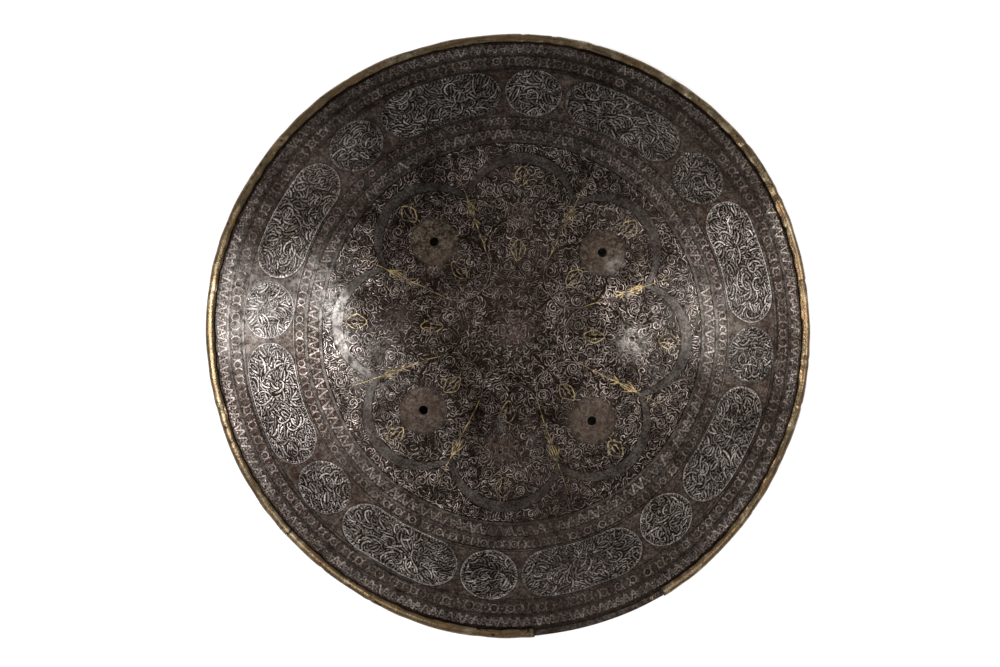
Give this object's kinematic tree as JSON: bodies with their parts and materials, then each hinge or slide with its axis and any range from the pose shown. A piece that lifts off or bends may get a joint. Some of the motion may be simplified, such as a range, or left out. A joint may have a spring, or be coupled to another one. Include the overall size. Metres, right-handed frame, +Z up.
{
  "type": "round buckler shield",
  "caption": "Round domed steel shield with chiselled bands and panels, empty boss seats with rivet holes, and a worn brass edge strip with a section lost.",
  "frame": {"origin": "on the surface that the shield rests on, below the middle of the dome", "axes": "+Z up out of the crown of the dome; the four boss holes lie on the diagonals between +X and +Y"},
  "size_m": [0.4699, 0.4699, 0.0762],
  "materials": {
    "chiselled_steel": "old brown-black patina over chiselled steel, the raised work worn to grey, with rust stains",
    "old_brass": "handled brass, dulled to gold-brown with dark specks, dents and a few bright worn spots",
    "gold_inlay": "worn gold wire hammered into the steel"
  },
  "bodies": {
    "root": {"steel_plate": "chiselled_steel", "long_edge_strip": "old_brass", "short_edge_strip": "old_brass", "edge_rivet": "old_brass"}
  },
  "joints": []
}
